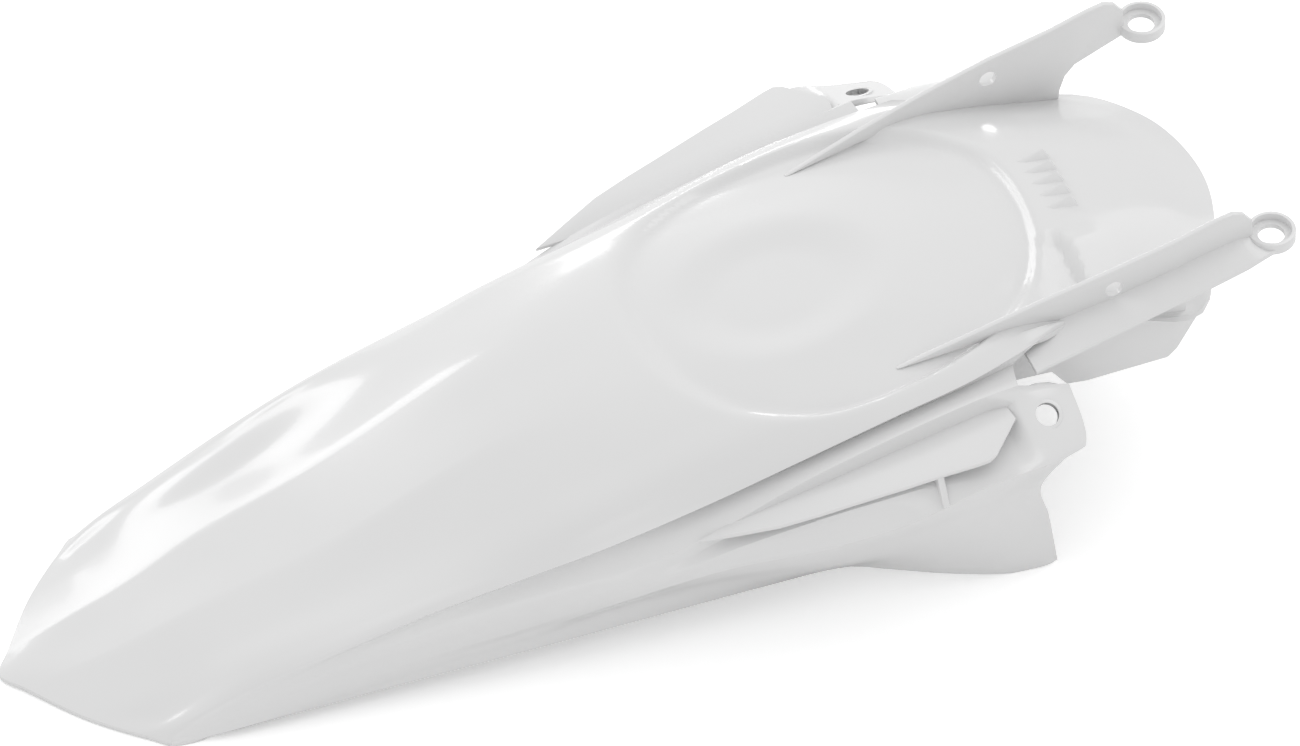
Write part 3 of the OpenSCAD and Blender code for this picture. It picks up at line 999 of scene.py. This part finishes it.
@dataclass
class Louvres:
    """The row of small scoops on the front of the roof.

    Attributes:
        start: Where they rise from the roof along X, in mm.
        height: How far their front stands above the roof.
        lip: How far the highest point lies behind the front.
        taper: How much narrower they are at their start.
        inset: How far the raised edge leans in from the outer side at the start.
        front_inset: The same at the front.
        dip: How far their start lies below the roof.
        root: How far their foot lies below the roof.
        edge: How wide their edges are rounded.
    """

    count: int = 5
    pitch: float = 10.0
    start: float = 629.0
    length: float = 21.0
    width: float = 7.0
    height: float = 4.4
    lip: float = 3.0
    taper: float = 2.0
    inset: float = 1.0
    front_inset: float = 0.8
    dip: float = 0.4
    root: float = 2.0
    edge: float = 0.9
    faces: tuple[tuple[int, ...], ...] = (
        (0, 1, 2), (0, 2, 5), (1, 3, 2), (0, 4, 1), (4, 3, 1), (0, 5, 4), (5, 2, 3), (5, 3, 4))

    def roof_height(self, lines: BodyLines, y: float) -> float:
        """Height of the roof at the louvres' start.

        Args:
            lines: The body's lines.
            y: Place across the fender, in mm.

        Returns:
            The height, read between the crown and the crease.
        """
        t = (y / lines.crease.rows[-1][1]) ** 2
        return (1 - t) * lines.crown.at(self.start, 2) + t * lines.crease.at(self.start, 2)

    def corners(self, y: float, z: float) -> list[Point3]:
        """Corners of one louvre.

        Args:
            y: Place of its middle across the fender.
            z: Height of the roof there.

        Returns:
            The six corners.
        """
        front, half, foot = self.start + self.length, self.width / 2, z - self.root
        raised = y + half - self.front_inset
        return [
            (self.start, y + half - self.inset, z - self.dip),
            (front - self.lip, raised, z + self.height), (front, raised, foot),
            (front, y - half, foot), (self.start, y - half + self.taper, foot),
            (self.start, y + half - self.inset, foot)]

    def build(self, lines: BodyLines) -> list[bpy.types.Object]:
        """Builds the louvres on the roof's lines.

        Args:
            lines: The body's lines.

        Returns:
            The solids, from right to left.
        """
        pieces = []
        for i in range(self.count):
            y = (i - (self.count - 1) / 2) * self.pitch
            corners = self.corners(y, self.roof_height(lines, y))
            louvre = new_object("louvre", np.array(corners), list(self.faces))
            outward(louvre)
            round_edges(louvre, self.edge, 3)
            pieces.append(louvre)
        return pieces


class Value:
    """A shader socket that takes part in Python expressions."""

    def __init__(self, tree: "Shader", socket: bpy.types.NodeSocket) -> None:
        """Wraps one output socket of a node in tree."""
        self.tree = tree
        self.socket = socket

    def _maths(self, operation: str, *values: "Value | float") -> "Value":
        """The result of one Math node."""
        return self.tree.node("ShaderNodeMath", {"operation": operation}, dict(enumerate(values)))

    def __add__(self, other: "Value | float") -> "Value":
        """Sum."""
        return self._maths("ADD", self, other)

    __radd__ = __add__

    def __sub__(self, other: "Value | float") -> "Value":
        """Difference."""
        return self._maths("SUBTRACT", self, other)

    def __rsub__(self, other: float) -> "Value":
        """Reflected difference."""
        return self._maths("SUBTRACT", other, self)

    def __mul__(self, other: "Value | float") -> "Value":
        """Product."""
        return self._maths("MULTIPLY", self, other)

    __rmul__ = __mul__


class Shader:
    """The node tree of a material or of the world, with one method for every node."""

    def __init__(self, owner: bpy.types.Material | bpy.types.World) -> None:
        """Starts an empty tree for owner."""
        owner.use_nodes = True
        self.tree = owner.node_tree
        self.tree.nodes.clear()

    def node(
        self, kind: str, settings: dict[str, object], inputs: dict[object, object],
        output: object = 0,
    ) -> Value:
        """Adds a node.

        Args:
            kind: The node's type.
            settings: Its properties, which are set first.
            inputs: Values or links of its sockets, by name or number.
            output: Name or number of the output to return.

        Returns:
            That output, or the node's first input where it has no output.
        """
        made = self.tree.nodes.new(kind)
        for key, value in settings.items():
            setattr(made, key, value)
        for key, value in inputs.items():
            if isinstance(value, Value):
                self.tree.links.new(value.socket, made.inputs[key])
            else:
                made.inputs[key].default_value = value
        return Value(self, made.outputs[output] if made.outputs else made.inputs[0])


@dataclass(frozen=True)
class WhitePlastic:
    """Glossy white injection-moulded polypropylene."""

    slot: str = "white_plastic"
    colour: tuple[float, float, float, float] = (0.80, 0.80, 0.80, 1.0)
    shade: tuple[float, float, float, float] = (0.77, 0.77, 0.772, 1.0)
    roughness: float = 0.22
    roughness_swing: float = 0.06
    index: float = 1.49
    coat: float = 0.4
    coat_roughness: float = 0.08
    flow_size: float = 9.0
    gloss_size: float = 40.0
    grain_size: float = 900.0
    grain_depth: float = 0.00002
    grain_strength: float = 0.4

    def material(self) -> bpy.types.Material:
        """Builds the finish: faint flow marks, uneven gloss and a fine mould grain.

        Returns:
            The material.
        """
        material = bpy.data.materials.new(self.slot)
        shader = Shader(material)
        where = shader.node("ShaderNodeTexCoord", {}, {}, "Object")
        flow = self.marks(shader, where, self.flow_size, 4.0)
        colour = shader.node(
            "ShaderNodeMix", {"data_type": "RGBA"}, {0: flow, 6: self.colour, 7: self.shade}, 2)
        gloss = self.marks(shader, where, self.gloss_size, 3.0)
        grain = self.marks(shader, where, self.grain_size, 2.0)
        normal = shader.node("ShaderNodeBump", {}, {
            "Height": grain, "Distance": self.grain_depth, "Strength": self.grain_strength})
        surface = shader.node("ShaderNodeBsdfPrincipled", {}, {
            "Base Color": colour, "Normal": normal, "IOR": self.index,
            "Roughness": self.roughness + self.roughness_swing * (gloss - 0.5),
            "Coat Weight": self.coat, "Coat Roughness": self.coat_roughness})
        shader.node("ShaderNodeOutputMaterial", {}, {"Surface": surface})
        return material

    @staticmethod
    def marks(shader: Shader, where: Value, size: float, detail: float) -> Value:
        """Uneven marks over the surface.

        Args:
            shader: The material's tree.
            where: The place on the surface.
            size: How many marks there are to a metre.
            detail: How fine they break up.

        Returns:
            A value about 0.5.
        """
        return shader.node(
            "ShaderNodeTexNoise", {}, {"Vector": where, "Scale": size, "Detail": detail})


@dataclass
class Fender:
    """The whole moulding."""

    shell: Shell = field(default_factory=Shell)
    arm: Arm = field(default_factory=Arm)
    plate: PocketPlate = field(default_factory=PocketPlate)
    side: SideFixing = field(default_factory=SideFixing)
    louvres: Louvres = field(default_factory=Louvres)
    finish: WhitePlastic = field(default_factory=WhitePlastic)
    smooth_under: float = 32.0

    def build(self) -> bpy.types.Object:
        """Builds, joins and dresses the moulding.

        Returns:
            The finished piece, which stands for the CAD node.
        """
        hole = self.side.hole()
        holes = [mirrored(hole, "side_hole_right"), hole]
        shell = combine(self.shell.build(), holes, Join.CUT)
        left = self.arm.build() + self.plate.build() + self.side.build()
        right = [mirrored(piece, piece.name + "_right") for piece in left]
        louvres = self.louvres.build(self.shell.lines)
        body = fuse([shell] + louvres + left + right, "fender_moulding")
        self.dress(body)
        return body

    def dress(self, body: bpy.types.Object) -> None:
        """Gives the moulding its finish and smooth shading, and ties it to the frame.

        Args:
            body: The moulding.
        """
        faces = body.data.polygons
        body.data.materials.clear()
        body.data.materials.append(self.finish.material())
        faces.foreach_set("material_index", [0] * len(faces))
        faces.foreach_set("use_smooth", [True] * len(faces))
        body.data.set_sharp_from_angle(angle=math.radians(self.smooth_under))
        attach(body, "root")
        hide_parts("fender")


@dataclass(frozen=True)
class Lamp:
    """A soft rectangular lamp, aimed at the fender's middle."""

    name: str
    at: Point3
    size: Point2
    power: float

    def build(self) -> bpy.types.Object:
        """Makes the lamp.

        Returns:
            The lamp, linked to the scene.
        """
        data = bpy.data.lights.new(self.name, "AREA")
        data.shape = "RECTANGLE"
        data.size, data.size_y = self.size
        data.energy = self.power
        lamp = bpy.data.objects.new(self.name, data)
        lamp.location = self.at
        lamp.rotation_euler = (MIDDLE - Vector(self.at)).to_track_quat("-Z", "Y").to_euler()
        bpy.context.scene.collection.objects.link(lamp)
        return lamp


@dataclass
class Studio:
    """A pale floor, soft lights and the photograph's viewpoint.

    Attributes:
        azimuth: How far the camera stands round from the right side, toward the tail.
        elevation: How far it looks down, in degrees.
        focal_px: Focal length, in pixels of the photograph.
        scale_px_per_mm: Scale of the photograph at the tail's tip.
        tail_px: Where the tail's tip falls in the photograph.
        tail_z: Height of that point of the tail, in mm.
        image: Width and height of the photograph.
        sensor: Width of the camera's sensor, in mm.
        world_light: Strength of the world as light on the object.
        floor_glow: What the camera sees the floor shine by itself.
    """

    azimuth: float = 21.95
    elevation: float = 46.0
    focal_px: float = 12000.0
    scale_px_per_mm: float = 1.77
    tail_px: Point2 = (0.0, 681.0)
    tail_z: float = -1.5
    image: Point2 = (1300.0, 746.0)
    sensor: float = 36.0
    world_light: float = 0.77
    floor_size: float = 8.0
    floor_glow: float = 0.34
    paper: tuple[float, float, float, float] = (0.95, 0.95, 0.95, 1.0)
    white: tuple[float, float, float, float] = (1.0, 1.0, 1.0, 1.0)
    lamps: tuple[Lamp, ...] = (
        Lamp("key", (-1.6, 2.9, 1.8), (1.8, 1.1), 22.0),
        Lamp("rim", (0.9, 3.2, 0.75), (1.6, 0.45), 10.0),
        Lamp("front", (2.0, 0.3, 2.6), (2.0, 2.0), 16.0),
        Lamp("fill", (-1.0, -3.0, 0.9), (2.4, 1.2), 4.0))

    def camera(self) -> None:
        """Places the camera so that the tail's tip falls on its pixel."""
        a, e = math.radians(self.azimuth), math.radians(self.elevation)
        back = Vector((-math.sin(a) * math.cos(e), -math.cos(a) * math.cos(e), math.sin(e)))
        right = Vector((math.cos(a), -math.sin(a), 0.0))
        up = back.cross(right)
        distance = self.focal_px / self.scale_px_per_mm * MM
        across = (self.tail_px[0] - self.image[0] / 2) / self.focal_px
        above = (self.image[1] / 2 - self.tail_px[1]) / self.focal_px
        tip = Vector(to_frame(np.array([0.0, 0.0, self.tail_z])))
        place = tip - distance * (across * right + above * up - back)
        data = bpy.data.cameras.new("camera")
        data.sensor_fit = "HORIZONTAL"
        data.sensor_width = self.sensor
        data.lens = self.focal_px / self.image[0] * self.sensor
        data.clip_end = 100.0
        camera = bpy.data.objects.new("camera", data)
        camera.matrix_world = Matrix((
            (right.x, up.x, back.x, place.x), (right.y, up.y, back.y, place.y),
            (right.z, up.z, back.z, place.z), (0, 0, 0, 1)))
        bpy.context.scene.collection.objects.link(camera)
        bpy.context.scene.camera = camera

    def world(self) -> None:
        """Sets a white surround for the camera, and a softer one as light."""
        world = bpy.data.worlds.new("studio")
        shader = Shader(world)
        camera_ray, through_ray = (
            shader.node("ShaderNodeLightPath", {}, {}, ray)
            for ray in ("Is Camera Ray", "Is Transmission Ray"))
        seen = shader.node(
            "ShaderNodeMath", {"operation": "MAXIMUM"}, {0: camera_ray, 1: through_ray})
        light, white = (
            shader.node("ShaderNodeBackground", {}, {"Color": self.white, "Strength": strength})
            for strength in (self.world_light, 1.0))
        shader.node("ShaderNodeOutputWorld", {}, {
            "Surface": shader.node("ShaderNodeMixShader", {}, {0: seen, 1: light, 2: white})})
        bpy.context.scene.world = world

    def floor(self) -> None:
        """A pale floor that looks white to the camera and keeps a soft shadow."""
        half = self.floor_size / 2
        corners = [(-half, -half, 0), (half, -half, 0), (half, half, 0), (-half, half, 0)]
        mesh = bpy.data.meshes.new("floor")
        mesh.from_pydata(corners, [], [(0, 1, 2, 3)])
        floor = bpy.data.objects.new("floor", mesh)
        bpy.context.scene.collection.objects.link(floor)
        material = bpy.data.materials.new("floor_paper")
        shader = Shader(material)
        seen = shader.node("ShaderNodeLightPath", {}, {}, "Is Camera Ray")
        paper = shader.node("ShaderNodeBsdfDiffuse", {}, {"Color": self.paper})
        glow = shader.node(
            "ShaderNodeEmission", {}, {"Color": self.white, "Strength": self.floor_glow})
        lit = shader.node("ShaderNodeAddShader", {}, {0: paper, 1: glow})
        shader.node("ShaderNodeOutputMaterial", {}, {
            "Surface": shader.node("ShaderNodeMixShader", {}, {0: seen, 1: paper, 2: lit})})
        mesh.materials.append(material)

    def build(self) -> None:
        """Sets up the view, the surround, the floor and the lamps."""
        self.camera()
        self.world()
        self.floor()
        for lamp in self.lamps:
            lamp.build()
        bpy.context.scene.view_settings.view_transform = "Standard"


def main() -> None:
    """Builds the studio and the fender."""
    logging.basicConfig(level=logging.INFO)
    studio = Studio()
    studio.build()
    LOG.info("studio: %d lamps", len(studio.lamps))
    body = Fender().build()
    LOG.info("%s: %d faces", body.name, len(body.data.polygons))


if __name__ == "__main__":
    main()
